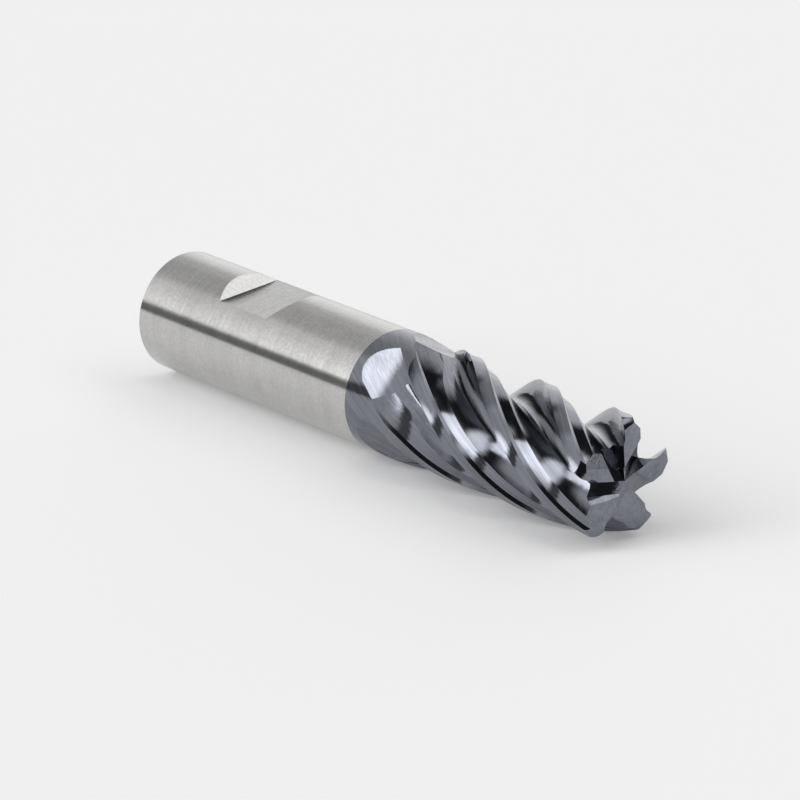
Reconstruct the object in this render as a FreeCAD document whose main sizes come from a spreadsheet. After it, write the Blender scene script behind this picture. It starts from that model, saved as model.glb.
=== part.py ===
import FreeCAD, Part
import math
import os

import Sketcher
from FreeCAD import Placement, Rotation, Vector

# End mill: 3/4 inch Weldon shank and a coated head with five right-hand flutes.
# X runs from the shank's back face (origin, on the axis) to the tip; Z is up.
# All sizes are millimetres and degrees.

os.makedirs("parts", exist_ok=True)
doc = FreeCAD.newDocument("EndMill")

# ---------------------------------------------------------------- dimensions
DIMENSIONS = [
    ("tool_diameter", 19.05, "shank and cutting diameter, 3/4 in"),
    ("overall_length", 101.6, "back face to end teeth, 4 in"),
    ("shank_length", 50.35, "bare shank, up to the coated head"),
    ("back_chamfer", 0.5, "45 degree chamfer on the back rim"),
    ("flat_start", 16.85, "back face to the near end of the flat's floor"),
    ("flat_length", 11.2, "length of the flat's floor"),
    ("flat_depth", 1.93, "flat floor below the shank surface"),
    ("flat_wall_angle", 45.0, "slope of the flat's end walls"),
    ("flat_roll", 4.7, "roll of the flat from +Z towards -Y"),
    ("flute_count", 5, "flutes round the head"),
    ("helix_at_tip", 38.0, "helix angle at the tip"),
    ("helix_at_neck", 34.0, "helix angle where the flutes run out"),
    ("end_edge_angle", 167.7, "angle of one end tooth, from +Y towards +Z"),
    ("core_diameter", 9.9, "core left by the flutes"),
    ("neck_ease", 0.01, "how far the coated neck starts below the shank"),
    ("neck_lead", 0.8, "length over which the neck rises to full size"),
    ("corner_radius", 2.3, "radius on the end teeth's outer corners"),
    ("radial_rake", 9.0, "hook of the flute faces"),
    ("flute_fillet", 2.3, "radius in the bottom of a flute"),
    ("land_drop", 0.28, "fall of the first land behind the edge"),
    ("step_depth", 0.62, "step between the first and second lands"),
    ("end_land_width", 1.9, "width of the end teeth's first land"),
]
sheet = doc.addObject("Spreadsheet::Sheet", "Dimensions")
for row, (alias, value, note) in enumerate(DIMENSIONS, start=1):
    sheet.set(f"A{row}", alias)
    sheet.set(f"B{row}", str(value))
    sheet.set(f"C{row}", note)
    sheet.setAlias(f"B{row}", alias)
doc.recompute()


def dim(alias):
    return float(sheet.get(alias))


RADIUS = dim("tool_diameter") / 2
LENGTH = dim("overall_length")
FLUTES = int(dim("flute_count"))
PITCH = 360.0 / FLUTES
AXIS = Vector(1, 0, 0)
ORIGIN = Vector(0, 0, 0)


# ---------------------------------------------------------------- drawing helpers
def radians(alias):
    return math.radians(dim(alias))


def line(a, b):
    return Part.LineSegment(a, b).toShape()


def polygon(points):
    return Part.Wire([line(a, b) for a, b in zip(points, points[1:] + points[:1])])


def spread(start, stop, step):
    count = math.ceil((stop - start) / step)
    return [start + (stop - start) * i / count for i in range(count + 1)]


def plane_of(body, role):
    return next(f for f in body.Origin.OriginFeatures if f.Role == role)


def closed_sketch(body, name, role, corners):
    """A closed sketch of straight sides; corners only need to be roughly right."""
    sketch = body.newObject("Sketcher::SketchObject", name)
    sketch.AttachmentSupport = [(plane_of(body, role), "")]
    sketch.MapMode = "FlatFace"
    count = len(corners)
    for i in range(count):
        a, b = Vector(*corners[i], 0), Vector(*corners[(i + 1) % count], 0)
        sketch.addGeometry(Part.LineSegment(a, b), False)
    for i in range(count):
        sketch.addConstraint(Sketcher.Constraint("Coincident", i, 2, (i + 1) % count, 1))
    return sketch


def drive(sketch, kind, where, value, name, formula):
    """Add one named dimension and bind it to the spreadsheet."""
    index = sketch.addConstraint(Sketcher.Constraint(kind, *where, value))
    sketch.renameConstraint(index, name)
    sketch.setExpression(f"Constraints.{name}", formula)


def turned(body, sketch, name):
    turning = body.newObject("PartDesign::Revolution", name)
    turning.Profile = sketch
    turning.ReferenceAxis = (sketch, ["H_Axis"])
    turning.Angle = 360.0
    sketch.Visibility = False
    return turning


# ---------------------------------------------------------------- shank
shank = doc.addObject("PartDesign::Body", "shank")
shank_length = dim("shank_length")
chamfer = dim("back_chamfer")
rim = RADIUS - chamfer
start, stop = dim("flat_start"), dim("flat_start") + dim("flat_length")
middle = (start + stop) / 2
# the ground wall is two equal cylinders that meet at the middle of the flat
outline = closed_sketch(
    shank,
    "shank_outline",
    "XY_Plane",
    [
        (0, 0),
        (0, rim),
        (chamfer, RADIUS),
        (middle, RADIUS),
        (shank_length, RADIUS),
        (shank_length, 0),
    ],
)
for side in (0, 4):
    outline.addConstraint(Sketcher.Constraint("Vertical", side))
for side in (2, 3, 5):
    outline.addConstraint(Sketcher.Constraint("Horizontal", side))
outline.addConstraint(Sketcher.Constraint("Coincident", 0, 1, -1, 1))
drive(outline, "DistanceY", (-1, 1, 2, 1), RADIUS, "radius", "Dimensions.tool_diameter / 2")
half_way = "Dimensions.flat_start + Dimensions.flat_length / 2"
drive(outline, "DistanceX", (-1, 1, 3, 1), middle, "middle", half_way)
drive(outline, "DistanceX", (-1, 1, 4, 1), shank_length, "reach", "Dimensions.shank_length")
drive(outline, "DistanceX", (1, 1, 1, 2), chamfer, "chamfer_x", "Dimensions.back_chamfer")
drive(outline, "DistanceY", (1, 1, 1, 2), chamfer, "chamfer_y", "Dimensions.back_chamfer")
turned(shank, outline, "shank_turning").Refine = False

# the Weldon flat: a trapezoid cut straight across the top of the shank
floor = RADIUS - dim("flat_depth")
clear = 3.0
slot = closed_sketch(
    shank,
    "flat_outline",
    "XZ_Plane",
    [(start, floor), (stop, floor), (stop + clear, floor + clear), (start - clear, floor + clear)],
)
slot.AttachmentOffset = Placement(ORIGIN, Rotation(AXIS, dim("flat_roll")))
slot.setExpression("AttachmentOffset.Rotation.Angle", "Dimensions.flat_roll")
for side in (0, 2):
    slot.addConstraint(Sketcher.Constraint("Horizontal", side))
drive(slot, "DistanceX", (-1, 1, 0, 1), start, "start", "Dimensions.flat_start")
drive(slot, "DistanceX", (0, 1, 0, 2), dim("flat_length"), "length", "Dimensions.flat_length")
height = "Dimensions.tool_diameter / 2 - Dimensions.flat_depth"
wall = f"{clear} / tan(Dimensions.flat_wall_angle * 1 deg)"
drive(slot, "DistanceY", (-1, 1, 0, 1), floor, "height", height)
drive(slot, "DistanceY", (1, 1, 1, 2), clear, "clear", f"{clear}")
drive(slot, "DistanceX", (1, 1, 1, 2), clear, "wall", wall)
drive(slot, "DistanceX", (3, 1, 3, 2), clear, "wall_back", wall)
flat = shank.newObject("PartDesign::Pocket", "weldon_flat")
flat.Profile = slot
flat.Refine = False
flat.Type = "Length"
flat.Length = 2 * RADIUS + 10
flat.Midplane = True
slot.Visibility = False
shank.Tip = flat

# ---------------------------------------------------------------- head blank
blank = doc.addObject("PartDesign::Body", "head_blank")
neck_radius = RADIUS - dim("neck_ease")
neck_end = shank_length + dim("neck_lead")
bar = closed_sketch(
    blank,
    "blank_outline",
    "XY_Plane",
    [
        (shank_length, 0),
        (shank_length, neck_radius),
        (neck_end, RADIUS),
        (LENGTH, RADIUS),
        (LENGTH, 0),
    ],
)
for side, direction in ((0, "Vertical"), (2, "Horizontal"), (3, "Vertical"), (4, "Horizontal")):
    bar.addConstraint(Sketcher.Constraint(direction, side))
bar.addConstraint(Sketcher.Constraint("PointOnObject", 0, 1, -1))
drive(bar, "DistanceX", (-1, 1, 0, 1), shank_length, "start", "Dimensions.shank_length")
drive(bar, "DistanceX", (1, 1, 1, 2), dim("neck_lead"), "neck_lead", "Dimensions.neck_lead")
drive(bar, "DistanceX", (-1, 1, 3, 1), LENGTH, "reach", "Dimensions.overall_length")
drive(bar, "DistanceY", (-1, 1, 2, 1), RADIUS, "radius", "Dimensions.tool_diameter / 2")
neck = "Dimensions.tool_diameter / 2 - Dimensions.neck_ease"
drive(bar, "DistanceY", (-1, 1, 1, 1), neck_radius, "neck_radius", neck)
turning = turned(blank, bar, "blank_turning")
doc.recompute()
tip_rim = [
    f"Edge{i}"
    for i, edge in enumerate(turning.Shape.Edges, start=1)
    if abs(edge.BoundBox.XMin - LENGTH) < 1e-4 and edge.BoundBox.ZMax > RADIUS - 0.01
]
corner = blank.newObject("PartDesign::Fillet", "corner_rounding")
corner.Base = (turning, tip_rim)
corner.setExpression("Radius", "Dimensions.corner_radius")
blank.Tip = corner
doc.recompute()


# ---------------------------------------------------------------- helix
# The helix steepens steadily from the neck to the tip.
TWIST_TIP = math.degrees(math.tan(radians("helix_at_tip")) / RADIUS)
TWIST_NECK = math.degrees(math.tan(radians("helix_at_neck")) / RADIUS)
TWIST_GROWTH = (TWIST_TIP - TWIST_NECK) / (LENGTH - shank_length)


def edge_angle(x):
    """Angle of the first tooth's cutting edge in the plane at x."""
    back = x - LENGTH
    return dim("end_edge_angle") + TWIST_TIP * back + TWIST_GROWTH * back * back / 2


def section(x, points):
    """Place (radius, degrees behind the cutting edge) points in the plane at x."""
    placed = []
    for radius, behind in points:
        angle = math.radians(edge_angle(x) - behind)
        placed.append(Vector(x, radius * math.cos(angle), radius * math.sin(angle)))
    return placed


def helical(wire_at, start, stop):
    """Solid lofted through the sections that wire_at draws from start to stop."""
    return Part.makeLoft([wire_at(x) for x in spread(start, stop, 1.5)], True, False)


# ---------------------------------------------------------------- flutes
# A flute is drawn from the tooth behind it: rake line, round bottom, heel.
HEEL_BEHIND = 24.0
HEEL_RADIUS = RADIUS - 0.9
FLUTE_WHEEL = 40.0
FLUTE_START = 55.9
FLUTE_FULL = 75.7
HEEL_LIFT = 0.35
CLEAR = 2.0


def from_rear_tooth(x, y):
    return math.hypot(x, y), PITCH - math.degrees(math.atan2(y, x))


def flute_points(lift):
    """Outline of a flute whose bottom is raised by lift towards its run-out."""
    rake, fillet = radians("radial_rake"), dim("flute_fillet")
    reach = dim("core_diameter") / 2 + fillet + lift
    # the round bottom touches the core circle and the rake line through the edge
    swing = rake + math.asin((fillet - RADIUS * math.sin(rake)) / reach)
    cx, cy = reach * math.cos(swing), reach * math.sin(swing)
    rake_end = (cx + fillet * math.sin(rake), cy - fillet * math.cos(rake))
    heel, heel_radius = math.radians(PITCH - HEEL_BEHIND), HEEL_RADIUS + HEEL_LIFT * lift
    hx, hy = heel_radius * math.cos(heel), heel_radius * math.sin(heel)
    turn = math.atan2(hy - cy, hx - cx) + math.acos(fillet / math.hypot(hx - cx, hy - cy))
    heel_end = (cx + fillet * math.cos(turn), cy + fillet * math.sin(turn))
    middle = (turn + rake + 1.5 * math.pi) / 2
    bottom = (cx + fillet * math.cos(middle), cy + fillet * math.sin(middle))
    edge_out = (RADIUS + 2 * CLEAR * math.cos(rake), 2 * CLEAR * math.sin(rake))
    ux, uy = hx - heel_end[0], hy - heel_end[1]
    grow = 1 + 1.5 * CLEAR / math.hypot(ux, uy)
    heel_out = (heel_end[0] + ux * grow, heel_end[1] + uy * grow)
    return [from_rear_tooth(*p) for p in (edge_out, rake_end, bottom, heel_end, heel_out)]


def flute_wire(x):
    away = max(0.0, FLUTE_FULL - x)
    p = section(x, flute_points(away * away / (2 * FLUTE_WHEEL)))
    bottom = Part.Arc(p[1], p[2], p[3]).toShape()
    return Part.Wire([line(p[0], p[1]), bottom, line(p[3], p[4]), line(p[4], p[0])])


flute = helical(flute_wire, FLUTE_START, LENGTH + CLEAR)

# ---------------------------------------------------------------- run-out scoops
# The wheel leaves a shallow scoop across each flute's shank end.
SCOOP_START = 52.1
SCOOP_WHEEL = 30.0
SCOOP_ENTRY = math.radians(19.3)
SCOOP_BEHIND = 29.6
LANE_END = 67.0
LANE = [(3.0, 71.6), (RADIUS + 4.0, 71.6), (RADIUS + 4.0, 18.0), (3.0, 18.0)]

lane = helical(lambda x: polygon(section(x, LANE)), SCOOP_START - 1.0, LANE_END)
facing_angle = math.radians(edge_angle(SCOOP_START) - SCOOP_BEHIND)
facing = Vector(0, math.cos(facing_angle), math.sin(facing_angle))
across = facing.cross(AXIS)
hub = AXIS * (SCOOP_START + SCOOP_WHEEL * math.sin(SCOOP_ENTRY))
hub = hub + facing * (RADIUS + SCOOP_WHEEL * math.cos(SCOOP_ENTRY))
scoop = Part.makeCylinder(SCOOP_WHEEL, 30.0, hub - across * 15.0, across).common(lane)

# ---------------------------------------------------------------- relief lands
# Behind each edge: first land, a steep step, second land, then the flute's heel.
RELIEF_START = 55.0
RELIEF_FULL = 64.0
RELIEF_WHEEL = 29.0
LENS_LIFT = 2.2
STEP_TOP = 13.9
STEP_FOOT = 15.6
step_top = RADIUS - dim("land_drop")
step_foot = step_top - dim("step_depth")
RELIEF = [
    (RADIUS + 0.14, -6.5),
    (step_top, STEP_TOP),
    (step_foot, STEP_FOOT),
    (step_foot - 1.15, 44.0),
    (RADIUS + 2.5, 46.0),
    (RADIUS + 3.5, 18.0),
]


def relief_wire(x):
    away = max(0.0, RELIEF_FULL - x)
    lift = away * away / (2 * RELIEF_WHEEL)
    rise = [lift, lift, lift, LENS_LIFT * lift, LENS_LIFT * lift, lift]
    return polygon(section(x, [(r + up, behind) for (r, behind), up in zip(RELIEF, rise)]))


relief = helical(relief_wire, RELIEF_START, LENGTH + CLEAR)

# ---------------------------------------------------------------- end teeth
END_RELIEF = math.radians(8.0)
END_BACK = math.radians(14.0)
DISH = math.radians(1.5)
GASH_ANGLE = math.radians(24.0)
GASH_RAKE = math.radians(3.0)
GASH_START = 0.35
GASH_MOUTH = 2.0
GASH_WIDENING = 0.45
GASH_LIP = 0.68
LIP_SLOPE = math.tan(math.radians(43.0))
end_turn = radians("end_edge_angle")
OUT = Vector(0, math.cos(end_turn), math.sin(end_turn))
TRAILING = OUT.cross(AXIS)


def at_tooth(out, trailing, axial):
    """Point given by distance out along the end edge, behind it, and past the tip."""
    return OUT * out + TRAILING * trailing + AXIS * (LENGTH + axial)


def end_relief_wire(out):
    """Two relief lands behind an end edge, dished towards the centre."""
    width, back = dim("end_land_width"), 9.0
    edge = -(RADIUS - out) * math.tan(DISH)
    heel = edge - width * math.tan(END_RELIEF)
    tail = heel - back * math.tan(END_BACK)
    corners = [(0.0, edge), (width, heel), (width + back, tail), (width + back, 3.0), (0.0, 3.0)]
    return polygon([at_tooth(out, trailing, axial) for trailing, axial in corners])


def gash_wire(out):
    """Notch in front of an end edge: rake wall, rising floor, then a steeper lip."""
    deep = GASH_START + out * math.tan(GASH_ANGLE)
    lip = GASH_LIP * deep
    mouth = GASH_MOUTH + GASH_WIDENING * out
    corners = [
        (deep * math.tan(GASH_RAKE), -deep),
        (-CLEAR * math.tan(GASH_RAKE), CLEAR),
        (-mouth - CLEAR * LIP_SLOPE, CLEAR),
        (lip * LIP_SLOPE - mouth, -lip),
    ]
    return polygon([at_tooth(out, trailing, axial) for trailing, axial in corners])


def pie_slice():
    """The space behind one end edge, as far as the next tooth."""
    corners = [at_tooth(0, 0, -9)]
    for angle in (0, PITCH / 2, PITCH):
        turn = math.radians(angle)
        corners.append(at_tooth(16 * math.cos(turn), 16 * math.sin(turn), -9))
    return Part.Face(polygon(corners)).extrude(AXIS * 13)


end_relief = Part.makeLoft([end_relief_wire(-2.0), end_relief_wire(12.0)], True, True)
end_relief = end_relief.common(pie_slice())
gash = Part.makeLoft([gash_wire(-0.7), gash_wire(13.0)], True, True)

# ---------------------------------------------------------------- grinding the head
head = blank
cutters = {"flute": flute, "scoop": scoop, "relief": relief, "gash": gash, "end_relief": end_relief}
for label, shape in cutters.items():
    for i in range(FLUTES):
        cutter = doc.addObject("Part::Feature", f"{label}_cutter_{i + 1}")
        cutter.Shape = shape
        cutter.Placement = Placement(ORIGIN, Rotation(AXIS, i * PITCH))
        ground = doc.addObject("Part::Cut", f"{label}_ground_{i + 1}")
        ground.Base = head
        ground.Tool = cutter
        head = ground
head.Label = "cutting_head"
doc.recompute()

# ---------------------------------------------------------------- check and export
for item in doc.Objects:
    if "Invalid" in item.State or "Error" in item.State:
        raise RuntimeError(f"{item.Label} did not build: {item.State}")
for piece in (shank, head):
    shape = piece.Shape
    if shape.isNull() or not shape.isValid() or len(shape.Solids) != 1:
        raise RuntimeError(f"{piece.Label} is not one sound solid")
    shape.exportStep(f"parts/{piece.Label}.step")
    print(piece.Label, round(shape.Volume, 1))
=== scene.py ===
import math

import bpy
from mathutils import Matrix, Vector

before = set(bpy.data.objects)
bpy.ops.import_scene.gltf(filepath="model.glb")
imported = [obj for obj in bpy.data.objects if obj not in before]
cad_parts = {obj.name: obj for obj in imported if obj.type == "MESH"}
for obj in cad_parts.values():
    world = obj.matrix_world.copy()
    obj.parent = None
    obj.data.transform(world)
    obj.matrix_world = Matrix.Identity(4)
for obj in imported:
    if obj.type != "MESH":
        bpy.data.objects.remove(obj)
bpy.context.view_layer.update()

# End mill lying on its side on a pale bench, in a studio lit by large soft panels.
# Metres; X runs from the shank's back face to the tip, Z is up.

TOOL_RADIUS = 0.009525
TOOL_LENGTH = 0.1016
HEAD_LENGTH = 0.05125
# The helix is 38 degrees at the tip and 34 at the neck, here in radians per metre.
TWIST_AT_TIP = math.tan(math.radians(38.0)) / TOOL_RADIUS
TWIST_AT_NECK = math.tan(math.radians(34.0)) / TOOL_RADIUS
TWIST_GROWTH = (TWIST_AT_TIP - TWIST_AT_NECK) / HEAD_LENGTH

BENCH_SIZE = 1.6
BENCH_CENTRE = (0.05, 0.0, -TOOL_RADIUS)
WHITE = (1.0, 1.0, 1.0, 1.0)


# ---------------------------------------------------------------- node building
class Nodes:
    """Short names for building a node tree."""

    def __init__(self, tree):
        self.tree = tree

    def add(self, kind, **settings):
        node = self.tree.nodes.new(kind)
        for key, value in settings.items():
            setattr(node, key, value)
        return node

    def link(self, source, target):
        self.tree.links.new(source, target)

    def feed(self, value, socket):
        """Link a socket's output, or set a plain number."""
        if isinstance(value, bpy.types.NodeSocket):
            self.link(value, socket)
        else:
            socket.default_value = value

    def math(self, operation, *values):
        node = self.add("ShaderNodeMath", operation=operation)
        for socket, value in zip(node.inputs, values):
            self.feed(value, socket)
        return node.outputs["Value"]


class Skin(Nodes):
    """One material; noise scales are in cycles per metre along X, Y and Z."""

    def __init__(self, name):
        self.material = bpy.data.materials.new(name)
        self.material.use_nodes = True
        super().__init__(self.material.node_tree)
        self.shader = self.tree.nodes["Principled BSDF"]

    def set(self, **values):
        """Constants on the shader's own sockets."""
        for key, value in values.items():
            self.shader.inputs[key.replace("_", " ")].default_value = value

    def wire(self, socket, value):
        """Link a node's output to the shader."""
        self.link(value, self.shader.inputs[socket])

    def place(self):
        return self.add("ShaderNodeTexCoord").outputs["Object"]

    def scaled(self, vector, scale):
        mapping = self.add("ShaderNodeMapping")
        mapping.inputs["Scale"].default_value = scale
        self.link(vector, mapping.inputs["Vector"])
        return mapping.outputs["Vector"]

    def stretched(self, *scale):
        """Object coordinates multiplied by scale along each axis."""
        return self.scaled(self.place(), scale)

    def untwisted(self, *scale):
        """Object coordinates turned back by the flutes' helix, then scaled."""
        place = self.place()
        split = self.add("ShaderNodeSeparateXYZ")
        self.link(place, split.inputs["Vector"])
        behind = self.math("SUBTRACT", split.outputs["X"], TOOL_LENGTH)
        rate = self.math("MULTIPLY_ADD", behind, TWIST_GROWTH / 2, TWIST_AT_TIP)
        angle = self.math("MULTIPLY", self.math("MULTIPLY", behind, rate), -1.0)
        turn = self.add("ShaderNodeVectorRotate", rotation_type="X_AXIS")
        self.link(place, turn.inputs["Vector"])
        self.link(angle, turn.inputs["Angle"])
        return self.scaled(turn.outputs["Vector"], scale)

    def noise(self, vector, detail, roughness):
        node = self.add("ShaderNodeTexNoise")
        node.inputs["Scale"].default_value = 1.0
        node.inputs["Detail"].default_value = detail
        node.inputs["Roughness"].default_value = roughness
        self.link(vector, node.inputs["Vector"])
        return node.outputs["Fac"]

    def spread(self, noise, low, high):
        """Map the range that noise mostly fills, 0.25 to 0.75, onto low to high."""
        node = self.add("ShaderNodeMapRange")
        node.inputs["From Min"].default_value = 0.25
        node.inputs["From Max"].default_value = 0.75
        node.inputs["To Min"].default_value = low
        node.inputs["To Max"].default_value = high
        self.link(noise, node.inputs["Value"])
        return node.outputs["Result"]

    def mix(self, noise, first, second):
        """A colour that wanders between two others."""
        node = self.add("ShaderNodeMix", data_type="RGBA")
        node.inputs["A"].default_value = (*first, 1.0)
        node.inputs["B"].default_value = (*second, 1.0)
        self.link(self.spread(noise, 0.0, 1.0), node.inputs["Factor"])
        return node.outputs["Result"]

    def shade(self, colour, noise, low, high):
        """Colour multiplied by a number that wanders from low to high."""
        node = self.add("ShaderNodeVectorMath", operation="SCALE")
        self.link(colour, node.inputs["Vector"])
        self.link(self.spread(noise, low, high), node.inputs["Scale"])
        return node.outputs["Vector"]

    def bump(self, height, strength, distance, below=None):
        node = self.add("ShaderNodeBump")
        node.inputs["Strength"].default_value = strength
        node.inputs["Distance"].default_value = distance
        self.link(height, node.inputs["Height"])
        if below is not None:
            self.link(below, node.inputs["Normal"])
        return node.outputs["Normal"]


# ---------------------------------------------------------------- materials
def ground_carbide():
    """Bright cylindrical grinding: fine lines round the shank, a few dull smudges."""
    skin = Skin("ground_carbide")
    skin.set(Metallic=1.0, Anisotropic=0.95, Anisotropic_Rotation=0.25)
    around = skin.add("ShaderNodeTangent", direction_type="RADIAL", axis="X")
    skin.wire("Tangent", around.outputs["Tangent"])
    lines = skin.noise(skin.stretched(3600.0, 110.0, 110.0), 4.0, 0.65)
    bands = skin.noise(skin.stretched(420.0, 60.0, 60.0), 3.0, 0.6)
    grain = skin.noise(skin.stretched(2000.0, 2000.0, 2000.0), 3.0, 0.7)
    smudges = skin.noise(skin.stretched(90.0, 240.0, 240.0), 2.0, 0.5)
    tone = skin.mix(bands, (0.53, 0.525, 0.515), (0.58, 0.575, 0.565))
    tone = skin.shade(tone, grain, 0.87, 1.10)
    tone = skin.shade(tone, lines, 0.90, 1.06)
    tone = skin.shade(tone, smudges, 0.94, 1.03)
    skin.wire("Base Color", tone)
    skin.wire("Roughness", skin.spread(bands, 0.155, 0.175))
    ground = skin.bump(lines, 0.5, 0.0000010)
    skin.wire("Normal", skin.bump(grain, 0.3, 0.0000015, ground))
    return skin.material


def coated_carbide():
    """Dark violet-grey hard coating over wheel marks that follow the helix."""
    skin = Skin("coated_carbide")
    skin.set(Metallic=1.0)
    marks = skin.noise(skin.untwisted(70.0, 3200.0, 3200.0), 3.0, 0.65)
    strokes = skin.noise(skin.untwisted(45.0, 1100.0, 1100.0), 2.0, 0.6)
    grain = skin.noise(skin.stretched(3000.0, 3000.0, 3000.0), 2.0, 0.5)
    cloud = skin.noise(skin.stretched(140.0, 140.0, 140.0), 2.0, 0.5)
    tone = skin.mix(cloud, (0.200, 0.208, 0.240), (0.226, 0.234, 0.264))
    tone = skin.shade(tone, strokes, 0.80, 1.14)
    tone = skin.shade(tone, marks, 0.82, 1.14)
    skin.wire("Base Color", tone)
    skin.wire("Roughness", skin.spread(marks, 0.06, 0.12))
    ground = skin.bump(marks, 0.8, 0.000011)
    ground = skin.bump(strokes, 0.7, 0.000016, ground)
    skin.wire("Normal", skin.bump(grain, 0.25, 0.000002, ground))
    return skin.material


def bench_top():
    """Matt white that glows faintly, so that its shadows stay pale."""
    skin = Skin("bench")
    skin.set(Base_Color=(0.92, 0.92, 0.924, 1.0), Roughness=0.9)
    skin.set(Emission_Color=WHITE, Emission_Strength=0.17)
    return skin.material


# ---------------------------------------------------------------- studio
class Sky(Nodes):
    """The studio round the tool: soft panels of light given by direction."""

    def __init__(self, ambient):
        self.world = bpy.data.worlds.new("studio")
        self.world.use_nodes = True
        super().__init__(self.world.node_tree)
        self.background = self.tree.nodes["Background"]
        self.background.inputs["Color"].default_value = WHITE
        self.direction = self.add("ShaderNodeTexCoord").outputs["Generated"]
        self.elevation = self.math("ARCSINE", self.dot((0.0, 0.0, 1.0)))
        self.total = ambient

    def dot(self, axis):
        node = self.add("ShaderNodeVectorMath", operation="DOT_PRODUCT")
        self.link(self.direction, node.inputs[0])
        node.inputs[1].default_value = axis
        return node.outputs["Value"]

    def ramp(self, angle, dark, lit):
        """0 at the dark angle rising smoothly to 1 at the lit one (degrees)."""
        node = self.add("ShaderNodeMapRange", interpolation_type="SMOOTHSTEP")
        low, high = sorted((dark, lit))
        node.inputs["From Min"].default_value = math.radians(low)
        node.inputs["From Max"].default_value = math.radians(high)
        node.inputs["To Min"].default_value = 0.0 if dark < lit else 1.0
        node.inputs["To Max"].default_value = 1.0 if dark < lit else 0.0
        self.link(angle, node.inputs["Value"])
        return node.outputs["Result"]

    def panel(self, strength, azimuth, half_width, side_fade, low, low_fade, high, high_fade):
        """One soft-edged panel; angles in degrees, azimuth from +X toward +Y."""
        middle = math.radians(azimuth)
        ahead = self.dot((math.cos(middle), math.sin(middle), 0.0))
        aside = self.dot((-math.sin(middle), math.cos(middle), 0.0))
        swing = self.math("ABSOLUTE", self.math("ARCTAN2", aside, ahead))
        across = self.ramp(swing, half_width + side_fade, half_width - side_fade)
        bottom = self.ramp(self.elevation, low - low_fade, low + low_fade)
        top = self.ramp(self.elevation, high + high_fade, high - high_fade)
        shape = self.math("MULTIPLY", across, self.math("MULTIPLY", bottom, top))
        self.total = self.math("ADD", self.total, self.math("MULTIPLY", shape, strength))
        self.link(self.total, self.background.inputs["Strength"])


def studio():
    sky = Sky(ambient=0.03)
    # key light at the front left, with a dimmer surround and a dark wall under it
    sky.panel(2.8, azimuth=243, half_width=14, side_fade=4, low=13, low_fade=2, high=74, high_fade=5)
    sky.panel(0.85, azimuth=240, half_width=40, side_fade=7, low=11.5, low_fade=1.5, high=55, high_fade=10)
    sky.panel(0.14, azimuth=232, half_width=60, side_fade=10, low=0, low_fade=1, high=11, high_fade=2)
    # second light behind on the right
    sky.panel(1.5, azimuth=60, half_width=34, side_fade=8, low=36, low_fade=5, high=72, high_fade=6)
    # pale backdrop, running round to a dim wall on the left
    sky.panel(1.1, azimuth=122, half_width=28, side_fade=14, low=-8, low_fade=3, high=40, high_fade=8)
    sky.panel(0.55, azimuth=176, half_width=26, side_fade=8, low=30, low_fade=6, high=58, high_fade=8)
    # faint fill from the right
    sky.panel(0.4, azimuth=5, half_width=30, side_fade=12, low=22, low_fade=10, high=55, high_fade=10)
    # the bright middle of the ceiling, all the way round
    sky.panel(2.4, azimuth=0, half_width=200, side_fade=5, low=77, low_fade=5, high=100, high_fade=5)
    return sky.world


# ---------------------------------------------------------------- camera
VIEW_AZIMUTH = math.radians(49.35)
VIEW_ELEVATION = math.radians(19.66)
VIEW_CENTRE = Vector((0.05192, 0.0, -0.001057))
VIEW_DISTANCE = 0.7476
FOCAL_LENGTH_MM = 224.2
SENSOR_WIDTH_MM = 36.0


def studio_camera():
    backward = Vector((
        math.sin(VIEW_AZIMUTH) * math.cos(VIEW_ELEVATION),
        -math.cos(VIEW_AZIMUTH) * math.cos(VIEW_ELEVATION),
        math.sin(VIEW_ELEVATION),
    ))
    lens = bpy.data.cameras.new("camera")
    lens.sensor_width = SENSOR_WIDTH_MM
    lens.lens = FOCAL_LENGTH_MM
    lens.clip_start = 0.01
    camera = bpy.data.objects.new("camera", lens)
    bpy.context.scene.collection.objects.link(camera)
    camera.location = VIEW_CENTRE + backward * VIEW_DISTANCE
    camera.rotation_euler = (-backward).to_track_quat("-Z", "Y").to_euler()
    return camera


# ---------------------------------------------------------------- the scene
for name, skin in {"shank": ground_carbide(), "cutting_head": coated_carbide()}.items():
    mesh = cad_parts[name].data
    mesh.materials.clear()
    mesh.materials.append(skin)

bpy.ops.mesh.primitive_plane_add(size=1.0, location=BENCH_CENTRE)
floor = bpy.context.object
floor.name = "bench"
floor.scale = (BENCH_SIZE, BENCH_SIZE, 1.0)
floor.data.materials.append(bench_top())

bpy.context.scene.world = studio()
bpy.context.scene.view_settings.view_transform = "Standard"
bpy.context.scene.camera = studio_camera()

bpy.context.view_layer.update()
